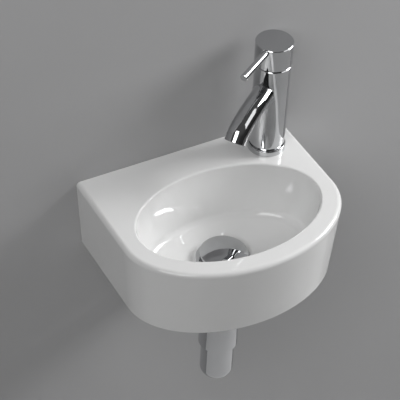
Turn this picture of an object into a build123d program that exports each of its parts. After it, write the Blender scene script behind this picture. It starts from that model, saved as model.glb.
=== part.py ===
"""Wall-hung cloakroom washbasin with a single-lever tap, press-down plug and bottle trap.

Millimetres, +Z up, +X to the right of someone facing the wall, +Y into the wall.
The origin is midway between the two wall-fixing bolts, on the basin's flat back face.
"""
from build123d import *
import math
import os

os.makedirs("parts", exist_ok=True)

# Ceramic basin
basin_width = 280.0
basin_depth = 222.0
basin_height = 100.0
rim_height = 60.0
front_bow = 96.0
skirt_lean = 7.5
ceramic_wall = 10.0
deck_thickness = 14.0
rim_round = 5.5
foot_round = 3.0
back_edge_round = 1.0
rim_overrun = 12.0

# Bowl
side_shelf = 23.8
front_shelf = 24.3
back_shelf = 46.3
bowl_wall_height = 71.0
bowl_draft = 10.0
floor_fall = 11.5
bowl_floor_round = 12.0
bowl_lip_round = 2.5
bowl_floor_radius = 37.0
drain_from_centre = 7.0
drain_hole_radius = 22.5
drain_boss_radius = 32.0
drain_boss_depth = 3.0
drain_seat_radius = 31.0
drain_seat_depth = 6.0

# Wall fixings, M8 hanger bolts
fixing_spacing = 120.0
bolt_radius = 4.0
bolt_screw_radius = 3.6
bolt_in_wall = 50.0
bolt_inside = 26.0
bolt_point = 8.0
sleeve_radius = 7.8
sleeve_flange_radius = 13.0
sleeve_flange = 2.0
fixing_washer_radius = 12.0
fixing_washer_thickness = 1.6
fixing_nut_flats = 13.0
fixing_nut_height = 6.5

# Clearances
thread_gap = 0.05
slip_gap = 0.25
wide_gap = 0.5
running_gap = 0.06
seam_gap = 0.3

# Pop-up waste, G 1 1/4
waste_radius = 20.95
waste_bore = 18.0
waste_length = 54.0
flange_radius = 33.6
flange_rise = 1.8
flange_edge = 0.8
dish_radius = 27.0
dish_depth = 8.3
spider_drop = 40.0
spider_height = 6.0
spider_hub_radius = 7.0
spider_arm_width = 4.0
spider_arms = 3
waste_washer_radius = 30.0
waste_washer_thickness = 4.0
back_nut_flats = 56.0
back_nut_height = 10.0

# Press-down plug
plug_radius = 29.0
plug_open = 7.2
plug_travel = 6.5
plug_rim = 2.0
plug_crown = 4.5
plug_recess = 1.0
plug_seal_outer = 24.9
plug_seal_inner = 20.0
plug_seal_thickness = 2.2
plug_stem_radius = 3.0
click_radius = 5.0
click_length = 34.0
click_floor = 3.0
spring_length = 13.0
spring_radius = 2.2
spring_wire = 0.35
spring_turns = 6

# Bottle trap
trap_tube_radius = 14.2
trap_tube_bore = 12.8
dip_clearance = 23.0
collar_radius = 20.3
collar_thickness = 2.0
gasket_thickness = 1.2
coupling_radius = 25.0
coupling_height = 21.7
coupling_lip = 3.5
top_nut_radius = 23.5
top_nut_height = 14.5
top_nut_drop = 3.3
nut_lip = 2.0
seal_thickness = 2.5
neck_radius = 19.0
body_shoulder_radius = 20.5
trap_body_radius = 24.8
trap_neck_length = 10.5
trap_body_length = 60.0
trap_body_bulge = 1.0
trap_body_wall = 2.2
cup_radius = 21.1
cup_length = 57.2
cup_round = 13.4
cup_wall = 2.4
cup_neck_radius = 20.6
cup_neck_length = 12.5
outlet_below_neck = 20.5
outlet_radius = 16.0
outlet_wall = 1.2
outlet_boss_radius = 18.5
outlet_boss_end = -68.0
outlet_insert = 16.0
outlet_in_wall = 30.0
spigot_start = 2.0
spigot_radius = 15.8
outlet_nut_radius = 22.5
outlet_nut_length = 16.0
rosette_radius = 32.0
rosette_depth = 9.0
rosette_edge = 2.0

# Tap
tap_from_side = 41.6
tap_from_wall = 35.6
tap_turn = 57.5
tap_hole_radius = 17.5
base_ring_radius = 23.2
base_ring_height = 7.5
base_ring_round = 1.6
base_oring_inner = 18.7
base_oring_outer = 21.4
base_oring_height = 1.6
tap_foot_radius = 19.8
tap_foot_height = 2.5
tap_neck_radius = 16.8
tap_neck_depth = 8.0
tap_radius = 21.9
tap_body_top = 126.2
tap_edge = 0.8
spout_below_top = 30.0
spout_radius = 12.9
spout_bore = 7.5
outlet_reach = 87.0
outlet_drop_below_start = 31.7
spout_fall = 51.5
spout_bend = 15.0
supply_x = -7.0
supply_y = 6.5
supply_port_radius = 4.5
supply_port_depth = 12.0
supply_bore = 2.8

# Aerator
aerator_length = 10.0
aerator_bore = 10.0
aerator_thread_radius = 11.2
aerator_thread_length = 6.0
aerator_washer_thickness = 1.5
aerator_insert_length = 8.0
aerator_recess = 1.0
aerator_jets = 8
aerator_jet_ring = 6.2
aerator_jet_radius = 1.3

# Ceramic cartridge
cartridge_depth = 22.2
cartridge_radius = 17.5
cartridge_neck_radius = 15.6
cartridge_wide_length = 13.0
cartridge_bore = 14.5
cartridge_floor = 4.0
disc_thickness = 3.5
moving_disc_thickness = 5.5
fixed_disc_radius = 14.2
moving_disc_radius = 11.4
mixing_recess = 1.2
rotor_radius = 14.2
rotor_turret_radius = 9.0
rotor_rise = 2.8
rotor_slot = 6.6
rotor_slot_half = 7.5
pivot_below_top = 3.2
pivot_radius = 1.5
stem_ball_drop = 7.4
stem_ball_radius = 2.2
stem_arm_radius = 1.6
stem_width = 7.6
stem_hub_width = 6.0
stem_shoulder = 5.2
stem_in_cap = 8.5
retaining_nut_radius = 18.2
retaining_nut_flange = 4.0
retaining_nut_flats = 34.0
cartridge_bore_radius = 18.3

# Lever cap and rod
cap_radius = 22.7
cap_gap = 1.5
cap_height = 29.5
cap_wall = 2.6
cap_edge = 0.7
cap_roof = 11.0
cap_hub_radius = 7.6
cap_hub_lift = 6.3
cap_socket_depth = 9.2
lift_angle = 20.0
tip_gap = 0.5
lever_below_cap = 5.0
lever_radius = 4.15
lever_reach = 54.0
lever_insert = 12.0
lever_edge = 0.5
nut_edge = 0.6
grub_rise = 5.0
grub_radius = 2.5
grub_length = 6.0
index_plug_radius = 3.2
index_plug_length = 2.2

# Tap fastening under the deck
stud_x = 8.0
stud_radius = 4.0
stud_depth = 62.0
stud_in_body = 9.0
horseshoe_radius = 24.0
horseshoe_slot = 26.0
horseshoe_slot_end = 2.0
deck_gasket_thickness = 2.5
clamp_plate_thickness = 2.5
clamp_nut_flats = 13.0
clamp_nut_height = 12.0

# Places worked out from the sizes above
side_length = basin_depth - front_bow
bowl_half_width = basin_width / 2 - side_shelf
bowl_half_depth = (basin_depth - front_shelf - back_shelf) / 2
bowl_centre_y = -back_shelf - bowl_half_depth
bowl_depth = bowl_wall_height + floor_fall
drain_y = bowl_centre_y + drain_from_centre
tap_x = basin_width / 2 - tap_from_side
tap_y = -tap_from_wall
spout_start = tap_body_top - spout_below_top
outlet_level = spout_start - outlet_drop_below_start
cartridge_seat = tap_body_top - cartridge_depth
cartridge_shoulder = cartridge_seat + cartridge_wide_length
rotor_top = tap_body_top + rotor_rise
pivot_height = tap_body_top - pivot_below_top
cap_bottom = tap_body_top + cap_gap
cap_top = cap_bottom + cap_height
cap_hub_bottom = cap_bottom + cap_hub_lift
stem_top = cap_hub_bottom + stem_in_cap
lever_height = cap_top - lever_below_cap
grub_height = cap_hub_bottom + grub_rise
floor_height = rim_height - bowl_depth
foot_height = rim_height - basin_height
boss_height = floor_height - ceramic_wall - drain_boss_depth
flange_height = floor_height + flange_rise
waste_end = floor_height - waste_length
cos_turn = math.cos(math.radians(tap_turn))
sin_turn = math.sin(math.radians(tap_turn))
spout_heading = Vector(-sin_turn, -cos_turn, 0)
deck = Plane(origin=(tap_x, tap_y, rim_height), x_dir=spout_heading, z_dir=(0, 0, 1))
tap_section = Plane(origin=deck.origin, x_dir=spout_heading, z_dir=spout_heading.cross(Vector(0, 0, 1)))
tap_axis = Axis(deck.origin, (0, 0, 1))
drain = Plane(origin=(0, drain_y, 0))
drain_section = Plane(origin=(0, drain_y, 0), x_dir=(1, 0, 0), z_dir=(0, -1, 0))
drain_axis = Axis((0, drain_y, 0), (0, 0, 1))
gasket_bottom = waste_end - gasket_thickness
collar_bottom = gasket_bottom - collar_thickness
coupling_bottom = collar_bottom - coupling_lip
top_nut_top = coupling_bottom - top_nut_drop
top_seal_top = top_nut_top - nut_lip
neck_top = top_seal_top - seal_thickness
trap_body_top = neck_top - trap_neck_length
trap_body_bottom = trap_body_top - trap_body_length
cup_top = trap_body_bottom - seam_gap
cup_bottom = cup_top - cup_length
trap_tube_end = cup_bottom + dip_clearance
outlet_height = trap_body_top - outlet_below_neck
outlet_section = Plane(origin=(0, 0, outlet_height), x_dir=(0, 1, 0), z_dir=(1, 0, 0))
outlet_axis = Axis((0, 0, outlet_height), (0, 1, 0))


def keep(builder, name):
    """Label a finished piece and write it as its own file."""
    builder.part.label = name
    export_step(builder.part, f"parts/{name}.step")


def turned(section, axis, outline):
    """A turned piece: an outline of (radius, height) points revolved about its axis."""
    with BuildPart() as piece:
        with BuildSketch(section):
            with BuildLine():
                Polyline(*outline, close=True)
            make_face()
        revolve(axis=axis)
    return piece


def ring(plane, outer, inner, bottom, top):
    """A flat washer or plain ring that lies from bottom to top along its plane's normal."""
    with BuildPart() as piece:
        with BuildSketch(plane.offset(bottom)):
            Circle(outer)
            Circle(inner, mode=Mode.SUBTRACT)
        extrude(amount=top - bottom)
    return piece


def hex_nut(plane, flats, bore, bottom, top):
    """A hexagon nut with its corners chamfered at both ends."""
    with BuildPart() as piece:
        with BuildSketch(plane.offset(bottom)):
            RegularPolygon(flats / 2, 6, major_radius=False)
        extrude(amount=top - bottom)
        ends = piece.faces().filter_by(Axis(plane.origin, plane.z_dir))
        chamfer(ends.edges(), nut_edge)
        with BuildSketch(plane.offset(bottom)):
            Circle(bore)
        extrude(amount=top - bottom, mode=Mode.SUBTRACT)
    return piece


def d_outline(height, inset, back):
    """The basin's D-shaped plan: flat back, straight sides, half-oval front."""
    half = basin_width / 2 - inset
    bow = basin_depth - side_length - inset
    with BuildSketch(Plane.XY.offset(height)) as outline:
        with BuildLine():
            Line((-half, back), (-half, -side_length))
            EllipticalCenterArc((0, -side_length), half, bow, start_angle=180, arc_size=180)
            Line((half, -side_length), (half, back))
            Line((half, back), (-half, back))
        make_face()
    return outline.sketch


def oval(height, half_x, half_y, middle):
    """A level ellipse across the bowl."""
    with BuildSketch(Plane.XY.offset(height)) as ring_sketch:
        with Locations((0, middle)):
            Ellipse(half_x, half_y)
    return ring_sketch.sketch


def bowl_form(grow):
    """The oval bowl: steep wall, rounded edge and a floor that falls to the drain, grown by one distance."""
    slope = bowl_draft / bowl_wall_height
    top = rim_height + rim_overrun
    edge = rim_height - bowl_wall_height - grow
    above = grow + slope * rim_overrun
    below = grow - bowl_draft - slope * grow
    edge_oval = oval(edge, bowl_half_width + below, bowl_half_depth + below, bowl_centre_y)
    top_oval = oval(top, bowl_half_width + above, bowl_half_depth + above, bowl_centre_y)
    floor_circle = oval(floor_height - grow, bowl_floor_radius + grow, bowl_floor_radius + grow, drain_y)
    with BuildPart() as form:
        loft(sections=[edge_oval, top_oval], ruled=True)
        loft(sections=[floor_circle, edge_oval], ruled=True)
        crease = form.edges().filter_by(lambda e: abs(e.center().Z - edge) < 0.01 and e.length > bowl_half_width)
        fillet(crease, bowl_floor_round + grow)
    return form.part


# Ceramic basin, cast hollow: a skirt, a deck, a bowl and a back wall in one shell
def lean_at(height):
    return skirt_lean * (rim_height - height) / basin_height


cavity_top = rim_height - deck_thickness
cavity_bottom = foot_height - 1
cavity_ends = [
    d_outline(height, ceramic_wall + lean_at(height), -ceramic_wall) for height in (cavity_bottom, cavity_top)
]
with BuildPart() as underside:
    loft(sections=cavity_ends, ruled=True)
    add(bowl_form(ceramic_wall), mode=Mode.SUBTRACT)
    with BuildSketch(drain.offset(boss_height)):
        Circle(drain_boss_radius)
    extrude(amount=ceramic_wall + drain_boss_depth, mode=Mode.SUBTRACT)

skirt_ends = [d_outline(height, lean_at(height), rim_overrun) for height in (foot_height, rim_height)]
with BuildPart() as basin:
    loft(sections=skirt_ends, ruled=True)
    rim_edges = basin.faces().sort_by(Axis.Z)[-1].edges().sort_by(Axis.Y)[:-1]
    fillet(rim_edges, rim_round)
    split(bisect_by=Plane.XZ, keep=Keep.TOP)
    add(bowl_form(0), mode=Mode.SUBTRACT)
    lip = basin.faces().filter_by(Axis.Z).sort_by(Axis.Z)[-1].inner_wires()[0]
    fillet(lip.edges(), bowl_lip_round)
    add(underside.part, mode=Mode.SUBTRACT)
    foot_edges = basin.faces().filter_by(Axis.Z).sort_by(Axis.Z)[0].outer_wire().edges()
    fillet(foot_edges.sort_by(Axis.Y)[:-1], foot_round)
    with Locations(deck.offset(0)):
        Hole(tap_hole_radius, depth=deck_thickness)
    with BuildSketch(drain.offset(boss_height)):
        Circle(drain_hole_radius)
    extrude(amount=bowl_depth, mode=Mode.SUBTRACT)
    with BuildSketch(drain_section):
        with BuildLine():
            Polyline(
                (0, floor_height),
                (drain_seat_radius, floor_height),
                (drain_hole_radius, floor_height - drain_seat_depth),
                (0, floor_height - drain_seat_depth),
                close=True,
            )
        make_face()
    revolve(axis=drain_axis, mode=Mode.SUBTRACT)
    with BuildSketch(Plane.XZ):
        with GridLocations(fixing_spacing, 1, 2, 1):
            Circle(sleeve_radius + slip_gap)
    extrude(amount=ceramic_wall, mode=Mode.SUBTRACT)
keep(basin, "basin")


# Wall fixings: hanger bolts, plastic sleeves, washers and nuts, two of each
wall_side = Plane(origin=(0, 0, 0), x_dir=(1, 0, 0), z_dir=(0, -1, 0))
sleeve_face = ceramic_wall + sleeve_flange
washer_face = sleeve_face + fixing_washer_thickness
nut_face = washer_face + fixing_nut_height

with BuildPart() as hanger_bolts:
    for side in (-1, 1):
        with BuildSketch(Plane(origin=(side * fixing_spacing / 2, 0, 0), x_dir=(1, 0, 0), z_dir=(0, 0, 1))):
            with BuildLine():
                Polyline(
                    (0, -bolt_inside),
                    (bolt_radius - lever_edge, -bolt_inside),
                    (bolt_radius, -bolt_inside + lever_edge),
                    (bolt_radius, 0),
                    (bolt_screw_radius, 0),
                    (bolt_screw_radius, bolt_in_wall - bolt_point),
                    (0, bolt_in_wall),
                    close=True,
                )
            make_face()
        revolve(axis=Axis((side * fixing_spacing / 2, 0, 0), (0, 1, 0)))
keep(hanger_bolts, "hanger_bolts")

with BuildPart() as bolt_sleeves:
    with BuildSketch(wall_side.offset(wide_gap)):
        with GridLocations(fixing_spacing, 1, 2, 1):
            Circle(sleeve_radius)
    extrude(amount=ceramic_wall - wide_gap)
    with BuildSketch(wall_side.offset(ceramic_wall)):
        with GridLocations(fixing_spacing, 1, 2, 1):
            Circle(sleeve_flange_radius)
    extrude(amount=sleeve_flange)
    with BuildSketch(wall_side):
        with GridLocations(fixing_spacing, 1, 2, 1):
            Circle(bolt_radius + slip_gap)
    extrude(amount=sleeve_face, mode=Mode.SUBTRACT)
keep(bolt_sleeves, "bolt_sleeves")

with BuildPart() as bolt_washers:
    with BuildSketch(wall_side.offset(sleeve_face)):
        with GridLocations(fixing_spacing, 1, 2, 1):
            Circle(fixing_washer_radius)
            Circle(bolt_radius + slip_gap, mode=Mode.SUBTRACT)
    extrude(amount=fixing_washer_thickness)
keep(bolt_washers, "bolt_washers")

with BuildPart() as bolt_nuts:
    with BuildSketch(wall_side.offset(washer_face)):
        with GridLocations(fixing_spacing, 1, 2, 1):
            RegularPolygon(fixing_nut_flats / 2, 6, major_radius=False)
            Circle(bolt_radius + thread_gap, mode=Mode.SUBTRACT)
    extrude(amount=fixing_nut_height)
    chamfer(bolt_nuts.faces().sort_by(Axis.Y)[0:2].edges().filter_by(GeomType.LINE), lever_edge)
keep(bolt_nuts, "bolt_nuts")


# Pop-up waste: flanged tube with a three-armed spider, washer and back nut
spider_top = flange_height - spider_drop
spider_bottom = spider_top - spider_height
seat_slope = (drain_seat_radius - drain_hole_radius) / drain_seat_depth
cone_gap = seam_gap * math.sqrt(1 + seat_slope**2)
with BuildPart() as waste_body:
    with BuildSketch(drain_section):
        with BuildLine():
            Polyline(
                (dish_radius, flange_height),
                (flange_radius - flange_edge, flange_height),
                (flange_radius, flange_height - flange_edge),
                (flange_radius, floor_height),
                (drain_seat_radius - cone_gap, floor_height),
                (waste_radius, floor_height - (drain_seat_radius - cone_gap - waste_radius) / seat_slope),
                (waste_radius, waste_end),
                (waste_bore, waste_end),
                (waste_bore, flange_height - dish_depth),
                close=True,
            )
        make_face()
    revolve(axis=drain_axis)
    with BuildSketch(drain.offset(spider_bottom)):
        Circle(spider_hub_radius)
        with PolarLocations(waste_bore / 2, spider_arms, start_angle=30):
            Rectangle(waste_bore + 1, spider_arm_width)
        Circle(click_radius + thread_gap, mode=Mode.SUBTRACT)
    extrude(amount=spider_height)
keep(waste_body, "waste_body")

washer_bottom = boss_height - waste_washer_thickness
waste_washer = ring(drain, waste_washer_radius, waste_radius + slip_gap, washer_bottom, boss_height)
keep(waste_washer, "waste_washer")

waste_back_nut = hex_nut(
    drain, back_nut_flats, waste_radius + thread_gap, washer_bottom - back_nut_height, washer_bottom
)
keep(waste_back_nut, "waste_back_nut")


# Press-down plug: domed cap, seal, stem, latch tube and return spring
plug_bottom = flange_height + plug_open
click_top = spider_bottom + click_length
click_bottom = spider_bottom
spring_seat = click_bottom + click_floor
stem_bottom = spring_seat + spring_length
crown_radius = (plug_radius**2 + plug_crown**2) / (2 * plug_crown)
with BuildPart() as plug_dome:
    with BuildSketch(drain_section) as dome_outline:
        with BuildLine():
            Line((0, plug_bottom), (plug_radius, plug_bottom))
            Line((plug_radius, plug_bottom), (plug_radius, plug_bottom + plug_rim))
            RadiusArc(
                (plug_radius, plug_bottom + plug_rim),
                (0, plug_bottom + plug_rim + plug_crown),
                -crown_radius,
            )
            Line((0, plug_bottom + plug_rim + plug_crown), (0, plug_bottom))
        make_face()
        fillet(dome_outline.vertices().group_by(Axis.X)[-1].sort_by(Axis.Y)[-1], plug_rim / 2)
    revolve(axis=drain_axis)
    with BuildSketch(drain.offset(plug_bottom)):
        Circle(plug_seal_outer + slip_gap)
        Circle(plug_seal_inner - slip_gap, mode=Mode.SUBTRACT)
    extrude(amount=plug_recess, mode=Mode.SUBTRACT)
    with BuildSketch(drain.offset(plug_bottom)):
        Circle(plug_stem_radius + thread_gap)
    extrude(amount=plug_rim, mode=Mode.SUBTRACT)
keep(plug_dome, "plug_dome")

seal_top = plug_bottom + plug_recess
plug_seal = ring(drain, plug_seal_outer, plug_seal_inner, seal_top - plug_seal_thickness, seal_top)
keep(plug_seal, "plug_seal")

with BuildPart() as plug_stem:
    with BuildSketch(drain.offset(stem_bottom)):
        Circle(plug_stem_radius)
    extrude(amount=plug_bottom + plug_rim - stem_bottom)
    chamfer(plug_stem.edges().sort_by(Axis.Z)[0], lever_edge)
    with BuildSketch(drain.offset(plug_bottom - plug_rim)):
        RegularPolygon(plug_stem_radius + 2, 6)
    extrude(amount=plug_rim)
keep(plug_stem, "plug_stem")

with BuildPart() as click_cartridge:
    with BuildSketch(drain.offset(click_bottom)):
        Circle(click_radius)
    extrude(amount=click_length)
    with BuildSketch(drain.offset(spider_top)):
        RegularPolygon(click_radius + 1.5, 6)
    extrude(amount=plug_rim)
    with BuildSketch(drain.offset(spring_seat)):
        Circle(plug_stem_radius + running_gap)
    extrude(amount=click_length, mode=Mode.SUBTRACT)
    chamfer(click_cartridge.edges().filter_by(GeomType.CIRCLE).group_by(Axis.Z)[-1].sort_by(SortBy.RADIUS)[-1], lever_edge)
keep(click_cartridge, "click_cartridge")

spring_rise = spring_length - 2 * spring_wire - 2 * running_gap
with BuildPart() as plug_spring:
    with BuildLine():
        coil = Helix(
            pitch=spring_rise / spring_turns,
            height=spring_rise,
            radius=spring_radius,
            center=(0, drain_y, spring_seat + spring_wire + running_gap),
        )
    with BuildSketch(Plane(origin=coil @ 0, z_dir=coil % 0)):
        RegularPolygon(spring_wire, 6)
    sweep(path=coil, is_frenet=True)
keep(plug_spring, "plug_spring")


# Bottle trap: coupling to the waste, dip tube, bell-shaped body and screw-on cup
tube_clear = trap_tube_radius + slip_gap
inlet_gasket = ring(drain, collar_radius, trap_tube_bore, gasket_bottom, waste_end)
keep(inlet_gasket, "inlet_gasket")

trap_inlet_tube = turned(drain_section, drain_axis, (
    (trap_tube_bore, gasket_bottom),
    (collar_radius, gasket_bottom),
    (collar_radius, collar_bottom),
    (trap_tube_radius, collar_bottom),
    (trap_tube_radius, trap_tube_end),
    (trap_tube_bore, trap_tube_end),
))
keep(trap_inlet_tube, "trap_inlet_tube")

trap_coupling_nut = turned(drain_section, drain_axis, (
    (waste_radius + thread_gap, coupling_bottom + coupling_height),
    (coupling_radius - rosette_edge, coupling_bottom + coupling_height),
    (coupling_radius, coupling_bottom + coupling_height - rosette_edge),
    (coupling_radius, coupling_bottom + rosette_edge),
    (coupling_radius - rosette_edge, coupling_bottom),
    (tube_clear, coupling_bottom),
    (tube_clear, collar_bottom),
    (waste_radius + thread_gap, collar_bottom),
))
keep(trap_coupling_nut, "trap_coupling_nut")

top_nut_bottom = top_nut_top - top_nut_height
trap_top_nut = turned(drain_section, drain_axis, (
    (tube_clear, top_nut_top),
    (top_nut_radius - rosette_edge, top_nut_top),
    (top_nut_radius, top_nut_top - rosette_edge),
    (top_nut_radius, top_nut_bottom),
    (neck_radius + thread_gap, top_nut_bottom),
    (neck_radius + thread_gap, top_seal_top),
    (tube_clear, top_seal_top),
))
keep(trap_top_nut, "trap_top_nut")

trap_top_seal = ring(drain, neck_radius - slip_gap, trap_tube_radius + thread_gap, neck_top, top_seal_top)
keep(trap_top_seal, "trap_top_seal")

body_mid_height = (trap_body_top + trap_body_bottom) / 2
body_mid_radius = (body_shoulder_radius + trap_body_radius) / 2 + trap_body_bulge
thread_top = trap_body_bottom + cup_neck_length + seal_thickness
bore_radius = cup_neck_radius - trap_body_wall
with BuildPart() as trap_body:
    with BuildSketch(drain_section):
        with BuildLine():
            Line((0, neck_top), (neck_radius, neck_top))
            Line((neck_radius, neck_top), (neck_radius, trap_body_top))
            Line((neck_radius, trap_body_top), (body_shoulder_radius, trap_body_top))
            ThreePointArc(
                (body_shoulder_radius, trap_body_top),
                (body_mid_radius, body_mid_height),
                (trap_body_radius, trap_body_bottom),
            )
            Line((trap_body_radius, trap_body_bottom), (0, trap_body_bottom))
            Line((0, trap_body_bottom), (0, neck_top))
        make_face()
    revolve(axis=drain_axis)
    with BuildSketch(Plane(origin=(0, outlet_boss_end, outlet_height), z_dir=(0, -1, 0))):
        Circle(outlet_boss_radius)
    extrude(amount=outlet_boss_end - drain_y)
    with BuildSketch(Plane(origin=(0, outlet_boss_end, outlet_height), z_dir=(0, -1, 0))):
        Circle(outlet_radius + slip_gap)
    extrude(amount=outlet_insert + 1, mode=Mode.SUBTRACT)
    with BuildSketch(Plane(origin=(0, outlet_boss_end, outlet_height), z_dir=(0, -1, 0))):
        Circle(outlet_radius - outlet_wall)
    extrude(amount=outlet_boss_end - drain_y, mode=Mode.SUBTRACT)
    with BuildSketch(drain_section):
        with BuildLine():
            Polyline(
                (0, neck_top),
                (tube_clear, neck_top),
                (tube_clear, trap_body_top - trap_body_wall),
                (bore_radius, trap_body_top - trap_body_wall),
                (bore_radius, thread_top),
                (cup_neck_radius + thread_gap, thread_top),
                (cup_neck_radius + thread_gap, trap_body_bottom),
                (0, trap_body_bottom),
                close=True,
            )
        make_face()
    revolve(axis=drain_axis, mode=Mode.SUBTRACT)
    chamfer(trap_body.edges().filter_by(GeomType.CIRCLE).group_by(Axis.Z)[0].sort_by(SortBy.RADIUS)[-1], lever_edge)
keep(trap_body, "trap_body")

cup_seal = ring(
    drain, cup_neck_radius - slip_gap, bore_radius + slip_gap, thread_top - seal_thickness, thread_top
)
keep(cup_seal, "cup_seal")

cup_bore = cup_radius - cup_wall
with BuildPart() as trap_cup:
    with BuildSketch(drain.offset(cup_bottom)):
        Circle(cup_radius)
    extrude(amount=cup_top - cup_bottom)
    fillet(trap_cup.edges().sort_by(Axis.Z)[0], cup_round)
    with BuildSketch(drain.offset(cup_top)):
        Circle(cup_neck_radius)
    extrude(amount=thread_top - seal_thickness - cup_top)
    with BuildSketch(drain_section):
        with BuildLine():
            Line((0, thread_top), (cup_bore, thread_top))
            Line((cup_bore, thread_top), (cup_bore, cup_bottom + cup_round))
            RadiusArc(
                (cup_bore, cup_bottom + cup_round),
                (cup_bore - cup_round + cup_wall, cup_bottom + cup_wall),
                cup_round - cup_wall,
            )
            Line((cup_bore - cup_round + cup_wall, cup_bottom + cup_wall), (0, cup_bottom + cup_wall))
            Line((0, cup_bottom + cup_wall), (0, thread_top))
        make_face()
    revolve(axis=drain_axis, mode=Mode.SUBTRACT)
keep(trap_cup, "trap_cup")


# Trap outlet: compression nut, seal, pipe into the wall and its cover rosette
outlet_seal_end = outlet_boss_end + seal_thickness
outlet_nut_end = outlet_seal_end + nut_lip
outlet_seal = turned(outlet_section, outlet_axis, (
    (outlet_boss_end, outlet_radius + thread_gap),
    (outlet_boss_end, outlet_boss_radius - slip_gap),
    (outlet_seal_end, outlet_boss_radius - slip_gap),
    (outlet_seal_end, outlet_radius + thread_gap),
))
keep(outlet_seal, "outlet_seal")

outlet_nut = turned(outlet_section, outlet_axis, (
    (outlet_nut_end - outlet_nut_length, outlet_boss_radius + thread_gap),
    (outlet_nut_end - outlet_nut_length, outlet_nut_radius),
    (outlet_nut_end - rosette_edge, outlet_nut_radius),
    (outlet_nut_end, outlet_nut_radius - rosette_edge),
    (outlet_nut_end, outlet_radius + slip_gap),
    (outlet_seal_end, outlet_radius + slip_gap),
    (outlet_seal_end, outlet_boss_radius + thread_gap),
))
keep(outlet_nut, "outlet_nut")

outlet_pipe = turned(outlet_section, outlet_axis, (
    (outlet_boss_end - outlet_insert, outlet_radius - outlet_wall),
    (outlet_boss_end - outlet_insert, outlet_radius),
    (spigot_start, outlet_radius),
    (spigot_start, spigot_radius),
    (outlet_in_wall, spigot_radius),
    (outlet_in_wall, outlet_radius - outlet_wall),
))
keep(outlet_pipe, "outlet_pipe")

with BuildPart() as wall_rosette:
    with BuildSketch(outlet_section):
        with BuildLine():
            Line((0, outlet_radius + thread_gap), (0, rosette_radius))
            Line((0, rosette_radius), (-rosette_edge, rosette_radius))
            ThreePointArc(
                (-rosette_edge, rosette_radius),
                (-rosette_depth * 0.7, (rosette_radius + outlet_radius) / 2 + rosette_edge),
                (-rosette_depth, outlet_radius + rosette_edge),
            )
            Line((-rosette_depth, outlet_radius + rosette_edge), (-rosette_depth, outlet_radius + thread_gap))
            Line((-rosette_depth, outlet_radius + thread_gap), (0, outlet_radius + thread_gap))
        make_face()
    revolve(axis=outlet_axis)
keep(wall_rosette, "wall_rosette")


# Tap base: chrome ring on a rubber ring
with BuildPart() as base_ring:
    with BuildSketch(deck):
        Circle(base_ring_radius)
    extrude(amount=base_ring_height)
    fillet(base_ring.edges().group_by(Axis.Z)[-1], base_ring_round)
    with BuildSketch(deck):
        Circle(tap_neck_radius + slip_gap)
    extrude(amount=base_ring_height, mode=Mode.SUBTRACT)
    with BuildSketch(deck):
        Circle(base_oring_outer + slip_gap)
        Circle(base_oring_inner - slip_gap, mode=Mode.SUBTRACT)
    extrude(amount=base_oring_height, mode=Mode.SUBTRACT)
keep(base_ring, "base_ring")

base_oring = ring(deck, base_oring_outer, base_oring_inner, 0, base_oring_height)
keep(base_oring, "base_oring")


# Tap body with its spout, cast in one piece
fall = math.radians(spout_fall)
outlet_drop = Vector(math.cos(fall), -math.sin(fall))
spout_mouth = Vector(outlet_reach, outlet_level)
spout_end = spout_mouth - outlet_drop * aerator_length
spout_knee = spout_end - outlet_drop * spout_bend
foot_top = base_ring_height + tap_foot_height
mouth_frame = Plane(
    origin=tap_section.from_local_coords((spout_end.X, spout_end.Y, 0)),
    z_dir=tap_section.from_local_coords((spout_mouth.X, spout_mouth.Y, 0))
    - tap_section.from_local_coords((spout_end.X, spout_end.Y, 0)),
)
with BuildPart() as tap_body:
    with BuildSketch(deck.offset(foot_top)):
        Circle(tap_radius)
    extrude(amount=tap_body_top - foot_top)
    chamfer(tap_body.edges().group_by(Axis.Z)[-1], tap_edge)
    chamfer(tap_body.edges().group_by(Axis.Z)[0], tap_edge)
    with BuildLine(tap_section):
        spout_path = Bezier((0, spout_start), (spout_knee.X, spout_knee.Y), (spout_end.X, spout_end.Y))
    with BuildSketch(Plane(origin=spout_path @ 0, z_dir=spout_path % 0)):
        Circle(spout_radius)
    sweep(path=spout_path)
    with BuildSketch(deck.offset(base_ring_height)):
        Circle(tap_foot_radius)
    extrude(amount=tap_foot_height)
    with BuildSketch(deck.offset(-tap_neck_depth)):
        Circle(tap_neck_radius)
    extrude(amount=tap_neck_depth + base_ring_height)
    with BuildSketch(Plane(origin=spout_path @ 0, z_dir=spout_path % 0)):
        Circle(spout_bore)
    sweep(path=spout_path, mode=Mode.SUBTRACT)
    with BuildSketch(mouth_frame):
        Circle(aerator_thread_radius + thread_gap)
    extrude(amount=-(aerator_thread_length + aerator_washer_thickness + seam_gap), mode=Mode.SUBTRACT)
    with BuildSketch(deck.offset(cartridge_seat)):
        Circle(cartridge_bore_radius)
    extrude(amount=tap_body_top - cartridge_seat, mode=Mode.SUBTRACT)
    with BuildSketch(deck.offset(spout_start)):
        with Locations((-supply_x, 0)):
            Circle(supply_port_radius)
    extrude(amount=cartridge_seat - spout_start, mode=Mode.SUBTRACT)
    with BuildSketch(deck.offset(-tap_neck_depth)):
        with GridLocations(0, 2 * supply_y, 1, 2):
            with Locations((supply_x, 0)):
                Circle(supply_bore)
    extrude(amount=tap_neck_depth + cartridge_seat, mode=Mode.SUBTRACT)
    with BuildSketch(deck.offset(-tap_neck_depth)):
        with GridLocations(0, 2 * supply_y, 1, 2):
            with Locations((supply_x, 0)):
                Circle(supply_port_radius)
    extrude(amount=supply_port_depth, mode=Mode.SUBTRACT)
    with BuildSketch(deck.offset(-tap_neck_depth)):
        with Locations((stud_x, 0)):
            Circle(stud_radius + thread_gap)
    extrude(amount=stud_in_body, mode=Mode.SUBTRACT)
keep(tap_body, "tap_body")


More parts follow.
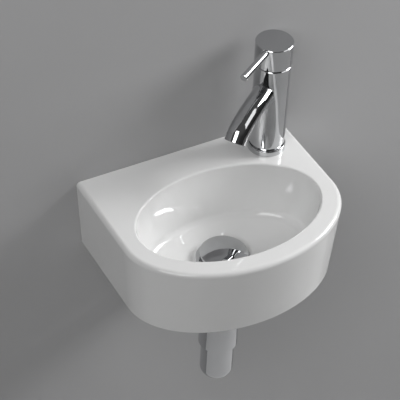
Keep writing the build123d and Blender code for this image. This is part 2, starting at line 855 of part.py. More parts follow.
# Aerator at the spout's mouth
with BuildPart() as aerator_housing:
    with BuildSketch(mouth_frame.offset(seam_gap)):
        Circle(spout_radius)
    extrude(amount=aerator_length - seam_gap)
    fillet(aerator_housing.faces().sort_by(Axis(mouth_frame.origin, mouth_frame.z_dir))[-1].edges(), tap_edge)
    with BuildSketch(mouth_frame.offset(-aerator_thread_length)):
        Circle(aerator_thread_radius)
    extrude(amount=aerator_thread_length + seam_gap)
    with BuildSketch(mouth_frame.offset(-aerator_thread_length)):
        Circle(aerator_bore)
    extrude(amount=aerator_thread_length + aerator_length, mode=Mode.SUBTRACT)
keep(aerator_housing, "aerator_housing")

insert_start = aerator_length - aerator_recess - aerator_insert_length
with BuildPart() as aerator_insert:
    with BuildSketch(mouth_frame.offset(insert_start)):
        Circle(aerator_bore - thread_gap)
        with PolarLocations(aerator_jet_ring, aerator_jets):
            Circle(aerator_jet_radius, mode=Mode.SUBTRACT)
        Circle(aerator_jet_radius, mode=Mode.SUBTRACT)
    extrude(amount=aerator_insert_length)
keep(aerator_insert, "aerator_insert")

aerator_washer = ring(
    mouth_frame,
    aerator_thread_radius - thread_gap,
    spout_bore + slip_gap,
    -aerator_thread_length - aerator_washer_thickness,
    -aerator_thread_length,
)
keep(aerator_washer, "aerator_washer")


# Ceramic cartridge: housing, two discs, turning carrier, stem and pivot pin
disc_seat = cartridge_seat + cartridge_floor
disc_face = disc_seat + disc_thickness
rotor_seat = disc_face + moving_disc_thickness + seam_gap
with BuildPart() as cartridge_housing:
    with BuildSketch(deck.offset(cartridge_seat)):
        Circle(cartridge_radius)
    extrude(amount=cartridge_shoulder - cartridge_seat)
    with BuildSketch(deck.offset(cartridge_shoulder)):
        Circle(cartridge_neck_radius)
    extrude(amount=tap_body_top - cartridge_shoulder)
    with BuildSketch(deck.offset(disc_seat)):
        Circle(cartridge_bore)
    extrude(amount=tap_body_top - disc_seat, mode=Mode.SUBTRACT)
    with BuildSketch(deck.offset(cartridge_seat)):
        with GridLocations(0, 2 * supply_y, 1, 2):
            with Locations((supply_x, 0)):
                Circle(supply_bore)
        with Locations((-supply_x, 0)):
            Circle(supply_port_radius)
    extrude(amount=cartridge_floor, mode=Mode.SUBTRACT)
keep(cartridge_housing, "cartridge_housing")

with BuildPart() as fixed_disc:
    with BuildSketch(deck.offset(disc_seat)):
        Circle(fixed_disc_radius)
        with GridLocations(0, 2 * supply_y, 1, 2):
            with Locations((supply_x, 0)):
                Circle(supply_bore, mode=Mode.SUBTRACT)
        with Locations((-supply_x, 0)):
            Circle(supply_port_radius, mode=Mode.SUBTRACT)
    extrude(amount=disc_thickness - running_gap)
keep(fixed_disc, "fixed_disc")

ball_height = pivot_height - stem_ball_drop
with BuildPart() as moving_disc:
    with BuildSketch(deck.offset(disc_face)):
        Circle(moving_disc_radius)
    extrude(amount=moving_disc_thickness)
    with BuildSketch(deck.offset(disc_face)):
        Circle(supply_port_radius)
    extrude(amount=mixing_recess, mode=Mode.SUBTRACT)
    with BuildSketch(deck.offset(ball_height - stem_ball_radius - slip_gap)):
        Circle(stem_ball_radius + slip_gap)
    extrude(amount=moving_disc_thickness, mode=Mode.SUBTRACT)
keep(moving_disc, "moving_disc")

with BuildPart() as cartridge_rotor:
    with BuildSketch(deck.offset(rotor_seat)):
        Circle(rotor_radius)
    extrude(amount=tap_body_top - rotor_seat)
    with BuildSketch(deck.offset(tap_body_top)):
        Circle(rotor_turret_radius)
    extrude(amount=rotor_top - tap_body_top)
    with BuildSketch(deck.offset(rotor_seat)):
        Rectangle(2 * rotor_slot_half, rotor_slot)
    extrude(amount=rotor_top - rotor_seat, mode=Mode.SUBTRACT)
    with BuildSketch(deck.offset(pivot_height + stem_hub_width / 2)):
        Rectangle(2 * rotor_slot_half, stem_width + 2 * wide_gap)
    extrude(amount=rotor_top - pivot_height, mode=Mode.SUBTRACT)
    with BuildSketch(tap_section.offset(-rotor_radius)):
        with Locations((0, pivot_height)):
            Circle(pivot_radius)
    extrude(amount=2 * rotor_radius, mode=Mode.SUBTRACT)
keep(cartridge_rotor, "cartridge_rotor")

pin_half = rotor_radius - 1
with BuildPart() as stem_pin:
    with BuildSketch(tap_section.offset(-pin_half)):
        with Locations((0, pivot_height)):
            Circle(pivot_radius - thread_gap)
    extrude(amount=2 * pin_half)
keep(stem_pin, "stem_pin")

with BuildPart() as cartridge_stem:
    with BuildSketch(deck.offset(pivot_height + stem_shoulder)):
        RectangleRounded(stem_width, stem_width, lever_edge)
    extrude(amount=stem_top - pivot_height - stem_shoulder)
    with BuildSketch(deck.offset(pivot_height)):
        Rectangle(stem_width, stem_hub_width)
    extrude(amount=stem_shoulder)
    with BuildSketch(tap_section.offset(-stem_hub_width / 2)):
        with Locations((0, pivot_height)):
            Circle(stem_hub_width / 2 + wide_gap)
    extrude(amount=stem_hub_width)
    with BuildSketch(deck.offset(ball_height)):
        Circle(stem_arm_radius)
    extrude(amount=stem_ball_drop + stem_hub_width)
    with Locations((tap_x, tap_y, rim_height + ball_height)):
        Sphere(stem_ball_radius)
    with BuildSketch(tap_section.offset(-stem_hub_width)):
        with Locations((0, pivot_height)):
            Circle(pivot_radius + running_gap)
    extrude(amount=2 * stem_hub_width, mode=Mode.SUBTRACT)
keep(cartridge_stem, "cartridge_stem")

with BuildPart() as retaining_nut:
    with BuildSketch(deck.offset(cartridge_shoulder)):
        Circle(retaining_nut_radius)
    extrude(amount=tap_body_top - cartridge_shoulder)
    with BuildSketch(deck.offset(tap_body_top)):
        RegularPolygon(retaining_nut_flats / 2, 6, major_radius=False)
        Circle(retaining_nut_radius, mode=Mode.INTERSECT)
    extrude(amount=retaining_nut_flange)
    with BuildSketch(deck.offset(cartridge_shoulder)):
        Circle(cartridge_neck_radius + slip_gap)
    extrude(amount=tap_body_top - cartridge_shoulder + retaining_nut_flange, mode=Mode.SUBTRACT)
keep(retaining_nut, "retaining_nut")


# Lever cap, cut away on a slope at the back so that it can tip
cap_ceiling = cap_top - cap_roof
tip = math.radians(lift_angle)
rest_clear = tap_body_top + tip_gap - pivot_height
relief_rise = rest_clear / math.cos(tip)
with BuildPart() as lever_cap:
    with BuildSketch(deck.offset(cap_bottom)):
        Circle(cap_radius)
    extrude(amount=cap_top - cap_bottom)
    chamfer(lever_cap.edges().group_by(Axis.Z)[-1], cap_edge)
    chamfer(lever_cap.edges().group_by(Axis.Z)[0], cap_edge)
    with BuildSketch(deck.offset(cap_bottom)):
        Circle(cap_radius - cap_wall)
    extrude(amount=cap_ceiling - cap_bottom, mode=Mode.SUBTRACT)
    with BuildSketch(deck.offset(cap_hub_bottom)):
        Circle(cap_hub_radius)
    extrude(amount=cap_ceiling - cap_hub_bottom)
    with BuildSketch(deck.offset(cap_hub_bottom)):
        Rectangle(stem_width + 2 * thread_gap, stem_width + 2 * thread_gap)
    extrude(amount=cap_socket_depth, mode=Mode.SUBTRACT)
    with BuildSketch(tap_section.offset(-cap_radius)):
        with BuildLine():
            Polyline(
                (0, pivot_height + relief_rise),
                (-2 * cap_radius, pivot_height + relief_rise + 2 * cap_radius * math.tan(tip)),
                (-2 * cap_radius, pivot_height),
                (0, pivot_height),
                close=True,
            )
        make_face()
    extrude(amount=2 * cap_radius, mode=Mode.SUBTRACT)
    side_drill = Plane(origin=deck.origin + Vector(0, 0, lever_height), x_dir=(0, 0, 1), z_dir=spout_heading)
    with BuildSketch(side_drill.offset(cap_radius - lever_insert)):
        Circle(lever_radius + thread_gap)
    extrude(amount=lever_insert, mode=Mode.SUBTRACT)
    rear_drill = Plane(origin=deck.origin + Vector(0, 0, grub_height), x_dir=(0, 0, 1), z_dir=-spout_heading)
    with BuildSketch(rear_drill):
        Circle(grub_radius + thread_gap)
    extrude(amount=cap_radius, mode=Mode.SUBTRACT)
    with BuildSketch(rear_drill.offset(cap_radius - index_plug_length)):
        Circle(index_plug_radius + thread_gap)
    extrude(amount=index_plug_length, mode=Mode.SUBTRACT)
keep(lever_cap, "lever_cap")

with BuildPart() as lever_rod:
    with BuildSketch(side_drill.offset(cap_radius - lever_insert)):
        Circle(lever_radius)
    extrude(amount=lever_insert + lever_reach)
    chamfer(lever_rod.faces().sort_by(Axis(deck.origin, spout_heading))[-1].edges(), lever_edge)
keep(lever_rod, "lever_rod")

grub_start = stem_width / 2
with BuildPart() as grub_screw:
    with BuildSketch(rear_drill.offset(grub_start)):
        Circle(grub_radius)
    extrude(amount=grub_length)
    with BuildSketch(rear_drill.offset(grub_start + grub_length)):
        RegularPolygon(grub_radius / 2, 6, major_radius=False)
    extrude(amount=-grub_radius, mode=Mode.SUBTRACT)
keep(grub_screw, "grub_screw")

with BuildPart() as index_plug:
    with BuildSketch(rear_drill.offset(cap_radius - index_plug_length)):
        Circle(index_plug_radius)
    extrude(amount=index_plug_length - seam_gap)
keep(index_plug, "index_plug")


# Tap fastening: stud, rubber and steel horseshoes and a long nut
gasket_top = -deck_thickness
gasket_base = gasket_top - deck_gasket_thickness
plate_base = gasket_base - clamp_plate_thickness


def horseshoe(bottom, top):
    """A round plate slotted from the side away from the spout, so that hoses pass through it."""
    slot_length = horseshoe_radius + horseshoe_slot_end
    with BuildPart() as piece:
        with BuildSketch(deck.offset(bottom)):
            Circle(horseshoe_radius)
            with Locations((horseshoe_slot_end - slot_length / 2, 0)):
                Rectangle(slot_length, horseshoe_slot, mode=Mode.SUBTRACT)
            with Locations((stud_x, 0)):
                Circle(stud_radius + slip_gap, mode=Mode.SUBTRACT)
        extrude(amount=top - bottom)
    return piece


deck_gasket = horseshoe(gasket_base, gasket_top)
keep(deck_gasket, "deck_gasket")
clamp_plate = horseshoe(plate_base, gasket_base)
keep(clamp_plate, "clamp_plate")

stud_frame = Plane(origin=deck.from_local_coords((stud_x, 0, 0)), x_dir=spout_heading, z_dir=(0, 0, 1))
with BuildPart() as tap_stud:
    with BuildSketch(stud_frame.offset(-stud_depth)):
        Circle(stud_radius)
    extrude(amount=stud_depth - tap_neck_depth + stud_in_body - wide_gap)
    chamfer(tap_stud.edges().sort_by(Axis.Z)[0], lever_edge)
keep(tap_stud, "tap_stud")

clamp_nut = hex_nut(stud_frame, clamp_nut_flats, stud_radius + thread_gap, plate_base - clamp_nut_height, plate_base)
keep(clamp_nut, "clamp_nut")
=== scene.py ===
"""Wall-hung cloakroom washbasin with its tap, plug and bottle trap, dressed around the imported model.

Metres, +Z up, +X to the right of someone facing the wall, +Y into the wall.
"""
import math

import bmesh
import bpy
from mathutils import Matrix, Vector


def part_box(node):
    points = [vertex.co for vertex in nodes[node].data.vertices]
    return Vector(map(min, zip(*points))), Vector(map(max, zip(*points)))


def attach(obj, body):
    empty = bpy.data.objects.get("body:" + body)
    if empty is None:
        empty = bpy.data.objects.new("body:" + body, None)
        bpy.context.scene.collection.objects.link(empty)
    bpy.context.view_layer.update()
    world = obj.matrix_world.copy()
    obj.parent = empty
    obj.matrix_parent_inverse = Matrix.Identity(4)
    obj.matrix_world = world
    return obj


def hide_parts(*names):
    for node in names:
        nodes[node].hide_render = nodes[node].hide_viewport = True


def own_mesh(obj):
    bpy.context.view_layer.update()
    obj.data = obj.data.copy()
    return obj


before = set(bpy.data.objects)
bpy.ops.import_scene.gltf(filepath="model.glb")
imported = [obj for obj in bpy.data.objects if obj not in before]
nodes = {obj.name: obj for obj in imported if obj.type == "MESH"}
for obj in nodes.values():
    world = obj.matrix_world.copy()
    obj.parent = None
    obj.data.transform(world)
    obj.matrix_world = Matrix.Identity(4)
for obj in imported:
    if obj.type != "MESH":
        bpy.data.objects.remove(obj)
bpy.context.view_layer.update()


# Basin: one casting of vitreous china, glazed all over except where it stood in the kiln.
# The flat back is ground to sit on the wall, and the foot of the skirt is left bare.
BACK_FACE = 0.0
FOOT = -0.040


def new_material(name):
    """A material with a Principled shader, and shorthands for its tree."""
    material = bpy.data.materials.new(name)
    material.use_nodes = True
    tree = material.node_tree
    shader = tree.nodes["Principled BSDF"]
    return material, tree, shader


def new_group(name, inputs, outputs):
    """A shader node group with float inputs given as (name, value) and outputs as (name, kind)."""
    group = bpy.data.node_groups.new(name, "ShaderNodeTree")
    for label, value in inputs:
        socket = group.interface.new_socket(label, in_out="INPUT", socket_type="NodeSocketFloat")
        socket.default_value = value
    for label, kind in outputs:
        group.interface.new_socket(label, in_out="OUTPUT", socket_type="NodeSocket" + kind)
    start = group.nodes.new("NodeGroupInput")
    end = group.nodes.new("NodeGroupOutput")
    return group, start, end


def place_group(tree, group, **values):
    """A node that holds one group, with its inputs set by name (spaces written as underscores)."""
    node = tree.nodes.new("ShaderNodeGroup")
    node.node_tree = group
    for label, value in values.items():
        node.inputs[label.replace("_", " ")].default_value = value
    return node


def add_noise(tree, vector, scale, detail=3.0, roughness=0.5):
    node = tree.nodes.new("ShaderNodeTexNoise")
    node.inputs["Scale"].default_value = scale
    node.inputs["Detail"].default_value = detail
    node.inputs["Roughness"].default_value = roughness
    tree.links.new(vector, node.inputs["Vector"])
    return node.outputs["Fac"]


def add_range(tree, value, low, high, to_low=0.0, to_high=1.0):
    node = tree.nodes.new("ShaderNodeMapRange")
    node.inputs["From Min"].default_value = low
    node.inputs["From Max"].default_value = high
    node.inputs["To Min"].default_value = to_low
    node.inputs["To Max"].default_value = to_high
    tree.links.new(value, node.inputs["Value"])
    return node.outputs["Result"]


def add_math(tree, operation, first, second):
    node = tree.nodes.new("ShaderNodeMath")
    node.operation = operation
    for index, value in enumerate((first, second)):
        if isinstance(value, (int, float)):
            node.inputs[index].default_value = value
        else:
            tree.links.new(value, node.inputs[index])
    return node.outputs["Value"]


def add_mix(tree, fac, first, second):
    """A colour between two, each given as a colour or a socket."""
    node = tree.nodes.new("ShaderNodeMix")
    node.data_type = "RGBA"
    if isinstance(fac, (int, float)):
        node.inputs["Factor"].default_value = fac
    else:
        tree.links.new(fac, node.inputs["Factor"])
    for index, value in ((6, first), (7, second)):
        if isinstance(value, tuple):
            node.inputs[index].default_value = (*value, 1.0)
        else:
            tree.links.new(value, node.inputs[index])
    return node.outputs[2]


def add_bump(tree, height, strength, distance, normal=None):
    node = tree.nodes.new("ShaderNodeBump")
    node.inputs["Strength"].default_value = strength
    node.inputs["Distance"].default_value = distance
    tree.links.new(height, node.inputs["Height"])
    if normal:
        tree.links.new(normal, node.inputs["Normal"])
    return node.outputs["Normal"]


def object_place(tree):
    return tree.nodes.new("ShaderNodeTexCoord").outputs["Object"]


drift, start, end = new_group("drift", [("Scale", 60.0), ("Fineness", 4.0)],
                              [("Broad", "Float"), ("Fine", "Float")])
where = object_place(drift)
broad = add_noise(drift, where, 60.0)
drift.links.new(start.outputs["Scale"], broad.node.inputs["Scale"])
fine_scale = add_math(drift, "MULTIPLY", start.outputs["Scale"], start.outputs["Fineness"])
fine = add_noise(drift, where, 60.0, 4.0, 0.6)
drift.links.new(fine_scale, fine.node.inputs["Scale"])
drift.links.new(broad, end.inputs["Broad"])
drift.links.new(fine, end.inputs["Fine"])


def put_on(node_name, material):
    """Give a carried-over node its material."""
    mesh = nodes[node_name].data
    mesh.materials.clear()
    mesh.materials.append(material)


# Dried drops: round spots of mineral dust that both the glaze and the plating carry.
spots, start, end = new_group("dried_drops", [("Scale", 260.0), ("Share", 0.12)],
                              [("Ring", "Float"), ("Spot", "Float")])
cells = spots.nodes.new("ShaderNodeTexVoronoi")
spots.links.new(object_place(spots), cells.inputs["Vector"])
spots.links.new(start.outputs["Scale"], cells.inputs["Scale"])
lucky = spots.nodes.new("ShaderNodeSeparateColor")
spots.links.new(cells.outputs["Color"], lucky.inputs["Color"])
chosen = add_math(spots, "LESS_THAN", lucky.outputs["Red"], start.outputs["Share"])
reach = add_range(spots, lucky.outputs["Green"], 0.0, 1.0, 0.12, 0.34)
inside = add_math(spots, "SUBTRACT", reach, cells.outputs["Distance"])
disc = add_math(spots, "MULTIPLY", chosen, add_range(spots, inside, 0.0, 0.05))
edge = add_math(spots, "MULTIPLY", disc, add_range(spots, inside, 0.10, 0.02))
spots.links.new(edge, end.inputs["Ring"])
spots.links.new(disc, end.inputs["Spot"])

glaze, tree, shader = new_material("glaze")
marks = place_group(tree, drift, Scale=22.0, Fineness=16.0)
drops = place_group(tree, spots, Scale=210.0, Share=0.05)
place = tree.nodes.new("ShaderNodeSeparateXYZ")
tree.links.new(object_place(tree), place.inputs["Vector"])
facing = tree.nodes.new("ShaderNodeSeparateXYZ")
tree.links.new(tree.nodes.new("ShaderNodeNewGeometry").outputs["Normal"], facing.inputs["Vector"])
grain = add_noise(tree, object_place(tree), 900.0, 4.0, 0.7)
ragged = add_math(tree, "MULTIPLY", add_math(tree, "SUBTRACT", marks.outputs["Fine"], 0.5), 0.002)
height = add_math(tree, "ADD", place.outputs["Z"], ragged)
depth = add_math(tree, "ADD", place.outputs["Y"], ragged)
at_back = add_math(tree, "MULTIPLY", add_range(tree, depth, BACK_FACE - 0.0016, BACK_FACE - 0.0008),
                   add_range(tree, facing.outputs["Y"], 0.6, 0.9))
at_foot = add_math(tree, "MULTIPLY", add_range(tree, height, FOOT + 0.0016, FOOT + 0.0008),
                   add_range(tree, facing.outputs["Z"], -0.6, -0.9))
bare = add_math(tree, "MAXIMUM", at_back, at_foot)
glazed_colour = add_mix(tree, marks.outputs["Broad"], (0.80, 0.80, 0.795), (0.83, 0.832, 0.83))
speckle = add_range(tree, add_noise(tree, object_place(tree), 340.0, 1.0, 0.4), 0.80, 0.86, 0.0, 0.35)
glazed_colour = add_mix(tree, speckle, glazed_colour, (0.42, 0.38, 0.32))
clay_colour = add_mix(tree, grain, (0.62, 0.58, 0.50), (0.76, 0.73, 0.67))
tree.links.new(add_mix(tree, bare, glazed_colour, clay_colour), shader.inputs["Base Color"])
gloss = add_range(tree, marks.outputs["Fine"], 0.3, 0.7, 0.03, 0.055)
gloss = add_math(tree, "ADD", gloss, add_math(tree, "MULTIPLY", drops.outputs["Ring"], 0.10))
rough = tree.nodes.new("ShaderNodeMix")
tree.links.new(bare, rough.inputs["Factor"])
tree.links.new(gloss, rough.inputs[2])
rough.inputs[3].default_value = 0.85
tree.links.new(rough.outputs[0], shader.inputs["Roughness"])
ripple = add_bump(tree, marks.outputs["Broad"], 0.10, 0.0012)
relief = add_math(tree, "MULTIPLY", grain, bare)
tree.links.new(add_bump(tree, relief, 0.5, 0.0004, ripple), shader.inputs["Normal"])
shader.inputs["IOR"].default_value = 1.52
put_on("basin", glaze)


# Wall fixings: two hanger bolts of zinc-plated steel, with a coarse screw that bites the wall plug
# and a machine thread inside the basin, where a plastic sleeve, a washer and a nut pull it home.
BOLT_SPACING = 0.120
BOLT_INSIDE = 0.026
BOLT_IN_WALL = 0.050
MACHINE_RADIUS = 0.004
MACHINE_DEPTH = 0.00065
MACHINE_PITCH = 0.00125
MACHINE_LEAD = 0.0008
MACHINE_END = 0.84
WOOD_RADIUS = 0.0036
WOOD_DEPTH = 0.0009
WOOD_PITCH = 0.003
WOOD_POINT = 0.010
WOOD_END = 0.10


def plain_material(name, low, high, scale, rough_low, rough_high, metallic=0.0, relief=0.0):
    """A hard finish whose colour and roughness drift a little over the surface."""
    material, tree, shader = new_material(name)
    marks = place_group(tree, drift, Scale=scale, Fineness=8.0)
    tree.links.new(add_mix(tree, marks.outputs["Broad"], low, high), shader.inputs["Base Color"])
    gloss = add_range(tree, marks.outputs["Fine"], 0.3, 0.7, rough_low, rough_high)
    tree.links.new(gloss, shader.inputs["Roughness"])
    shader.inputs["Metallic"].default_value = metallic
    if relief:
        tree.links.new(add_bump(tree, marks.outputs["Fine"], relief, 0.0003), shader.inputs["Normal"])
    return material


def new_growth(name, inputs):
    """A Geometry Nodes tree with its named inputs, set from (name, kind, value), and its one mesh output."""
    growth = bpy.data.node_groups.new(name, "GeometryNodeTree")
    for label, kind, value in inputs:
        socket = growth.interface.new_socket(label, in_out="INPUT", socket_type="NodeSocket" + kind)
        if value is not None:
            socket.default_value = value
    growth.interface.new_socket("Mesh", in_out="OUTPUT", socket_type="NodeSocketGeometry")
    return growth, growth.nodes.new("NodeGroupInput").outputs, growth.nodes.new("NodeGroupOutput")


def add_step(tree, kind, **values):
    """A node with some inputs set, each from a plain value or from another node's socket."""
    node = tree.nodes.new(kind)
    for label, value in values.items():
        socket = node.inputs[label.replace("_", " ")]
        if isinstance(value, bpy.types.NodeSocket):
            tree.links.new(value, socket)
        else:
            socket.default_value = value
    return node


def end_growth(growth, shape, given, end):
    """Close a tree: real meshes only, in the material that was given."""
    real = add_step(growth, "GeometryNodeRealizeInstances", Geometry=shape)
    dressed = add_step(growth, "GeometryNodeSetMaterial", Geometry=real.outputs["Geometry"],
                       Material=given["Material"])
    growth.links.new(dressed.outputs["Geometry"], end.inputs["Mesh"])


def add_thread_wave(tree, x, y, z, pitch):
    """A wave between 0 and 1 that winds about Z, once for each pitch."""
    share = add_math(tree, "DIVIDE", add_math(tree, "ARCTAN2", y, x), 2 * math.pi)
    turns = add_math(tree, "DIVIDE", z, pitch)
    phase = add_math(tree, "FRACT", add_math(tree, "SUBTRACT", turns, share), 0.0)
    doubled = add_math(tree, "MULTIPLY", phase, 2.0)
    return add_math(tree, "ABSOLUTE", add_math(tree, "SUBTRACT", doubled, 1.0), 0.0)


def grown_mesh(growth, **values):
    """The plain mesh that a tree gives with some of its inputs set."""
    holder = bpy.data.objects.new("holder", bpy.data.meshes.new("holder"))
    bpy.context.collection.objects.link(holder)
    modifier = holder.modifiers.new("growth", "NODES")
    modifier.node_group = growth
    for item in growth.interface.items_tree:
        label = item.name.replace(" ", "_")
        if item.item_type == "SOCKET" and item.in_out == "INPUT" and label in values:
            modifier[item.identifier] = values[label]
    evaluated = holder.evaluated_get(bpy.context.evaluated_depsgraph_get())
    mesh = bpy.data.meshes.new_from_object(evaluated)
    bpy.data.objects.remove(holder)
    return mesh


def one_piece(name, body, node_name, placed):
    """One object at the origin from meshes with their places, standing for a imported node."""
    shape = bmesh.new()
    for mesh, place in placed:
        mesh.transform(place)
        shape.from_mesh(mesh)
    whole = bpy.data.meshes.new(name)
    shape.to_mesh(whole)
    shape.free()
    whole.materials.append(placed[0][0].materials[0])
    piece = bpy.data.objects.new(name, whole)
    bpy.context.collection.objects.link(piece)
    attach(piece, body)
    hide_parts(node_name)
    return piece


screw, given, end = new_growth("screw", [
    ("Radius", "Float", 0.004), ("Thread Depth", "Float", 0.0006), ("Pitch", "Float", 0.00125),
    ("Length", "Float", 0.03), ("Taper Length", "Float", 0.001), ("Tip Share", "Float", 0.82),
    ("Steps Around", "Int", 32), ("Steps Along", "Int", 200), ("Material", "Material", None),
])
rod = add_step(screw, "GeometryNodeMeshCylinder", Vertices=given["Steps Around"],
               Side_Segments=given["Steps Along"], Radius=1.0, Depth=given["Length"])
spot = screw.nodes.new("ShaderNodeSeparateXYZ")
screw.links.new(screw.nodes.new("GeometryNodeInputPosition").outputs["Position"], spot.inputs["Vector"])
wave = add_thread_wave(screw, spot.outputs["X"], spot.outputs["Y"], spot.outputs["Z"], given["Pitch"])
cut = add_math(screw, "MULTIPLY", add_range(screw, wave, 0.12, 0.9), given["Thread Depth"])
girth = add_math(screw, "SUBTRACT", given["Radius"], cut)
half = add_math(screw, "MULTIPLY", given["Length"], 0.5)
taper = add_range(screw, spot.outputs["Z"], 0.0, 1.0, 1.0, 0.8).node
screw.links.new(add_math(screw, "SUBTRACT", half, given["Taper Length"]), taper.inputs["From Min"])
screw.links.new(half, taper.inputs["From Max"])
screw.links.new(given["Tip Share"], taper.inputs["To Max"])
girth = add_math(screw, "MULTIPLY", girth, taper.outputs["Result"])
moved = add_step(screw, "ShaderNodeCombineXYZ", X=add_math(screw, "MULTIPLY", spot.outputs["X"], girth),
                 Y=add_math(screw, "MULTIPLY", spot.outputs["Y"], girth), Z=spot.outputs["Z"])
shaped = add_step(screw, "GeometryNodeSetPosition", Geometry=rod.outputs["Mesh"],
                  Position=moved.outputs["Vector"])
smoothed = add_step(screw, "GeometryNodeSetShadeSmooth", Geometry=shaped.outputs["Geometry"],
                    Selection=rod.outputs["Side"], Shade_Smooth=True)
end_growth(screw, smoothed.outputs["Geometry"], given, end)


STEPS_A_PITCH = 8


def threaded(radius, depth, pitch, length, taper_length, tip_share, material):
    """A threaded rod along Z, centred, with its point at the top."""
    return grown_mesh(screw, Radius=radius, Thread_Depth=depth, Pitch=pitch, Length=length,
                      Taper_Length=taper_length, Tip_Share=tip_share,
                      Steps_Along=int(length / pitch * STEPS_A_PITCH), Material=material)


steel = plain_material("zinc_plated_steel", (0.50, 0.51, 0.53), (0.64, 0.65, 0.64), 120.0,
                       0.22, 0.42, 1.0, 0.2)
into_wall = Matrix.Rotation(math.radians(-90), 4, "X")
out_of_wall = Matrix.Rotation(math.radians(90), 4, "X")
bolt_parts = []
for side in (-1, 1):
    at = side * BOLT_SPACING / 2
    inner = threaded(MACHINE_RADIUS, MACHINE_DEPTH, MACHINE_PITCH, BOLT_INSIDE,
                     MACHINE_LEAD, MACHINE_END, steel)
    bolt_parts.append((inner, Matrix.Translation((at, -BOLT_INSIDE / 2, 0)) @ out_of_wall))
    outer = threaded(WOOD_RADIUS, WOOD_DEPTH, WOOD_PITCH, BOLT_IN_WALL, WOOD_POINT, WOOD_END, steel)
    bolt_parts.append((outer, Matrix.Translation((at, BOLT_IN_WALL / 2, 0)) @ into_wall))
one_piece("hanger_bolt_threads", "fixed", "hanger_bolts", bolt_parts)
white_plastic = plain_material("white_plastic", (0.70, 0.70, 0.68), (0.76, 0.76, 0.74), 140.0,
                               0.35, 0.48, 0.0, 0.2)
put_on("bolt_sleeves", white_plastic)
put_on("bolt_washers", steel)
put_on("bolt_nuts", steel)


# Waste: a flanged brass tube, plated with chrome and threaded below the ceramic, drawn down on a
# rubber washer by its back nut. The domed plug clicks shut on a sprung brass latch.
WASTE_Y = -0.115
WASTE_RADIUS = 0.02095
WASTE_PITCH = 0.0023


def plated(name, thread=None):
    """Polished nickel-chrome plating, with a helical thread where (centre y, radius, top, pitch) is given."""
    material, tree, shader = new_material(name)
    marks = place_group(tree, drift, Scale=45.0, Fineness=20.0)
    drops = place_group(tree, spots, Scale=330.0, Share=0.10)
    plating = add_mix(tree, marks.outputs["Broad"], (0.52, 0.525, 0.535), (0.57, 0.575, 0.585))
    dusty = add_math(tree, "MULTIPLY", drops.outputs["Ring"], 0.25)
    tree.links.new(add_mix(tree, dusty, plating, (0.46, 0.46, 0.455)), shader.inputs["Base Color"])
    gloss = add_range(tree, marks.outputs["Fine"], 0.3, 0.75, 0.02, 0.055)
    gloss = add_math(tree, "ADD", gloss, add_math(tree, "MULTIPLY", drops.outputs["Spot"], 0.05))
    tree.links.new(gloss, shader.inputs["Roughness"])
    shader.inputs["Metallic"].default_value = 1.0
    if thread:
        centre_y, radius, top, pitch = thread
        spot = tree.nodes.new("ShaderNodeSeparateXYZ")
        tree.links.new(object_place(tree), spot.inputs["Vector"])
        across = add_math(tree, "SUBTRACT", spot.outputs["Y"], centre_y)
        x_squared = add_math(tree, "MULTIPLY", spot.outputs["X"], spot.outputs["X"])
        y_squared = add_math(tree, "MULTIPLY", across, across)
        out = add_math(tree, "SQRT", add_math(tree, "ADD", y_squared, x_squared), 0.0)
        wave = add_thread_wave(tree, spot.outputs["X"], across, spot.outputs["Z"], pitch)
        on_tube = add_math(tree, "MULTIPLY", add_range(tree, out, radius - 0.0006, radius - 0.0003),
                           add_range(tree, spot.outputs["Z"], top, top - 0.001))
        relief = add_math(tree, "MULTIPLY", wave, on_tube)
        tree.links.new(add_bump(tree, relief, 1.0, 0.0011), shader.inputs["Normal"])
    return material


chrome = plated("chrome")
put_on("waste_body", plated("threaded_chrome", (WASTE_Y, WASTE_RADIUS, -0.030, WASTE_PITCH)))
for name in ("waste_back_nut", "plug_dome"):
    put_on(name, chrome)
rubber = plain_material("black_rubber", (0.018, 0.018, 0.018), (0.035, 0.035, 0.034), 150.0,
                        0.55, 0.75, 0.0, 0.35)
for name in ("waste_washer", "plug_seal"):
    put_on(name, rubber)


def turned_metal(name, low, high, rough_low, rough_high):
    """Metal turned on a lathe about an upright axis: fine tool lines that ring the piece."""
    material, tree, shader = new_material(name)
    marks = place_group(tree, drift, Scale=90.0, Fineness=8.0)
    stretch = tree.nodes.new("ShaderNodeMapping")
    stretch.inputs["Scale"].default_value = (0.02, 0.02, 1.0)
    tree.links.new(object_place(tree), stretch.inputs["Vector"])
    lines = add_noise(tree, stretch.outputs["Vector"], 5200.0, 2.0, 0.6)
    tree.links.new(add_mix(tree, marks.outputs["Broad"], low, high), shader.inputs["Base Color"])
    tree.links.new(add_range(tree, lines, 0.3, 0.7, rough_low, rough_high), shader.inputs["Roughness"])
    shader.inputs["Metallic"].default_value = 1.0
    tree.links.new(add_bump(tree, lines, 0.25, 0.00008), shader.inputs["Normal"])
    return material


brass = turned_metal("turned_brass", (0.60, 0.45, 0.19), (0.70, 0.55, 0.26), 0.16, 0.36)
wire = plain_material("spring_steel", (0.40, 0.41, 0.42), (0.50, 0.51, 0.52), 200.0, 0.20, 0.32, 1.0, 0.1)
put_on("plug_stem", brass)
put_on("click_cartridge", brass)
SPRING_FOOT = -0.0637
WIRE_RADIUS = 0.00035
SEAT_GAP = 0.00006
coil, given, end = new_growth("coil_spring", [
    ("Coil Radius", "Float", 0.0022), ("Wire Radius", "Float", WIRE_RADIUS), ("Turns", "Float", 6.0),
    ("Height", "Float", 0.01218), ("Steps A Turn", "Int", 32), ("Material", "Material", None),
])
helix = add_step(coil, "GeometryNodeCurveSpiral", Resolution=given["Steps A Turn"], Rotations=given["Turns"],
                 Start_Radius=given["Coil Radius"], End_Radius=given["Coil Radius"], Height=given["Height"])
section = add_step(coil, "GeometryNodeCurvePrimitiveCircle", Resolution=12, Radius=given["Wire Radius"])
